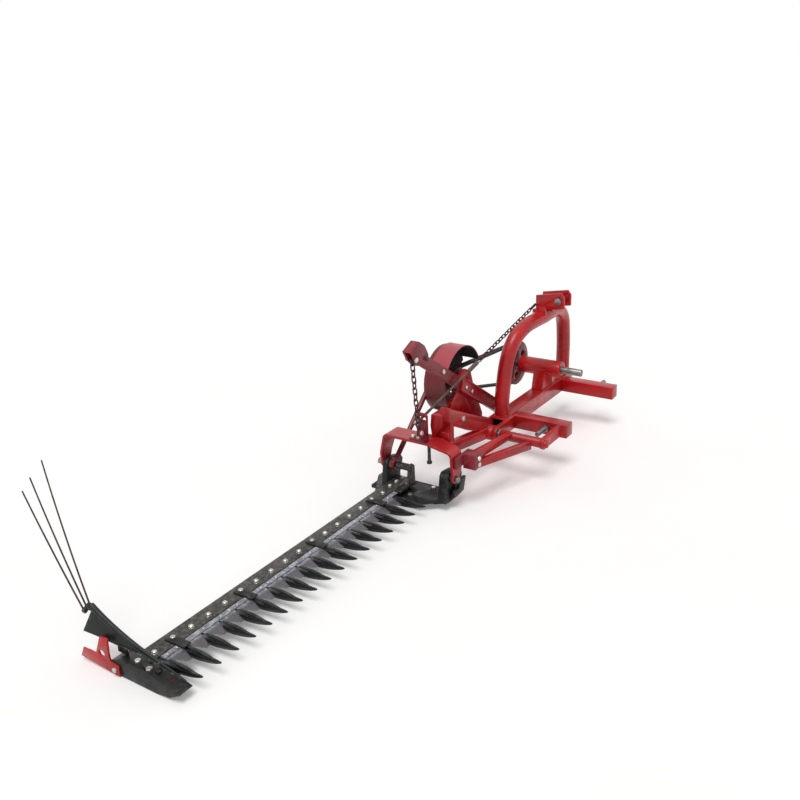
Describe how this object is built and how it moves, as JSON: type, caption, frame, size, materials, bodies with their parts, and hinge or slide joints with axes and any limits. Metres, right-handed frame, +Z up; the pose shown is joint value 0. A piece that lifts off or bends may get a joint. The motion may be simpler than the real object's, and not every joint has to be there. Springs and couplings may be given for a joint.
{
  "type": "sickle bar mower",
  "caption": "Belt driven side-mounted sickle bar mower on a bent-tube three-point headstock, with folding bar, reciprocating knife, lift lever and swath board.",
  "frame": {"origin": "hitch centre, midway between the two lower hitch pins and level with them, 50 mm in front of them", "axes": "+X out along the cutter bar to the machine's right, +Y forward in the direction of travel, +Z up"},
  "size_m": [2.67, 0.9022, 0.72],
  "materials": {
    "red_paint": "glossy red enamel, weathered",
    "dark_red_paint": "dark red enamel",
    "black_casting": "black paint on forged and cast iron",
    "bright_steel": "zinc plated",
    "knife_steel": "ground blade steel",
    "chain_steel": "oiled dark chain steel",
    "belt_rubber": "matt belt rubber",
    "spring_steel": "rusty brown spring rod"
  },
  "bodies": {
    "frame": {"cross_beam": "red_paint", "front_arm_right": "red_paint", "front_arm_left": "red_paint", "lower_hitch_pin_right": "bright_steel", "lower_hitch_pin_left": "bright_steel", "headstock_tube": "red_paint", "top_link_bracket": "red_paint", "top_link_pin": "bright_steel", "input_housing": "red_paint", "drive_carrier": "red_paint", "belt_guard": "red_paint", "v_belt_1": "belt_rubber", "v_belt_2": "belt_rubber", "arm_hinge_pin": "bright_steel", "lever_pin": "bright_steel"},
    "input": {"input_shaft": "bright_steel", "input_pulley": "dark_red_paint"},
    "flywheel": {"flywheel": "dark_red_paint", "driven_pulley": "dark_red_paint"},
    "lever": {"lift_lever": "red_paint", "lever_channel": "red_paint"},
    "lift_chain": {"lift_chain": "chain_steel"},
    "sheave": {"chain_sheave": "black_casting"},
    "stay": {"stay_chain": "chain_steel", "stay_rod": "bright_steel"},
    "arm": {"yoke": "red_paint", "stop_bolt": "bright_steel", "chain_anchor": "red_paint", "stay_lug": "red_paint", "front_boss": "red_paint", "swing_arm": "red_paint", "cross_tube": "red_paint", "drag_brace": "red_paint"},
    "bar": {"cutter_bar": "black_casting", "guard_outer": "black_casting", "guard_double_1": "black_casting", "guard_double_2": "black_casting", "guard_double_3": "black_casting", "guard_double_4": "black_casting", "guard_double_5": "black_casting", "guard_double_6": "black_casting", "guard_double_7": "black_casting", "guard_double_8": "black_casting", "hold_down_clip_0": "black_casting", "hold_down_clip_1": "black_casting", "hold_down_clip_2": "black_casting", "hold_down_clip_3": "black_casting", "inner_shoe": "black_casting", "hinge_pin_rear": "bright_steel", "hinge_pin_front": "bright_steel", "outer_shoe": "black_casting", "skid_bracket": "red_paint", "swath_post": "black_casting"},
    "knife": {"knife_sections": "knife_steel", "knife_back": "knife_steel", "knife_head": "knife_steel"},
    "pitman": {"pitman": "dark_red_paint"},
    "swath": {"swath_board": "black_casting", "swath_rods": "spring_steel"}
  },
  "joints": [
    {"name": "flywheel_spin", "type": "hinge", "parent": "frame", "child": "flywheel", "pos_m": [0.48, -0.45, 0.23], "axis": [0, 1, 0], "continuous": true},
    {"name": "input_spin", "type": "hinge", "parent": "frame", "child": "input", "pos_m": [-0.09, -0.4, 0.135], "axis": [0, 1, 0], "continuous": true},
    {"name": "arm_lift", "type": "hinge", "parent": "frame", "child": "arm", "pos_m": [0.45, -0.25, 0], "axis": [0, -1, 0], "range_deg": [-3, 12]},
    {"name": "lever_lift", "type": "hinge", "parent": "frame", "child": "lever", "pos_m": [0.195, -0.33, 0.002], "axis": [0, -1, 0], "range_deg": [-2, 7.7]},
    {"name": "chain_swing", "type": "hinge", "parent": "lever", "child": "lift_chain", "pos_m": [0.93828, -0.3122, 0.46971], "axis": [0, -1, 0], "range_deg": [-3, 1]},
    {"name": "stay_swing", "type": "hinge", "parent": "frame", "child": "stay", "pos_m": [0.03, -0.2339, 0.475], "axis": [0, -1, 0], "range_deg": [-1.2, 4.4]},
    {"name": "sheave_spin", "type": "hinge", "parent": "lever", "child": "sheave", "pos_m": [0.868, -0.31, 0.456], "axis": [0, 1, 0], "continuous": true},
    {"name": "bar_fold", "type": "hinge", "parent": "arm", "child": "bar", "pos_m": [0.85, -0.37, -0.043], "axis": [0, -1, 0], "range_deg": [-8, 80]},
    {"name": "knife_slide", "type": "slide", "parent": "bar", "child": "knife", "axis": [1, 0, 0], "range_m": [-0.0381, 0.0381]},
    {"name": "pitman_swing", "type": "hinge", "parent": "knife", "child": "pitman", "pos_m": [0.85, -0.48, -0.043], "axis": [0, -1, 0], "range_deg": [-81, 9]},
    {"name": "swath_swing", "type": "hinge", "parent": "bar", "child": "swath", "pos_m": [2.26, -0.372, -0.1172], "axis": [-1, 0, 0], "range_deg": [0, 7]}
  ],
  "couplings": [
    {"joint": "input_spin", "follows": "flywheel_spin", "ratio": 0.4716},
    {"joint": "lever_lift", "follows": "arm_lift", "ratio": 0.629},
    {"joint": "chain_swing", "follows": "arm_lift", "ratio": -0.2279},
    {"joint": "stay_swing", "follows": "arm_lift", "ratio": 0.3456},
    {"joint": "pitman_swing", "follows": "bar_fold", "ratio": -1}
  ]
}
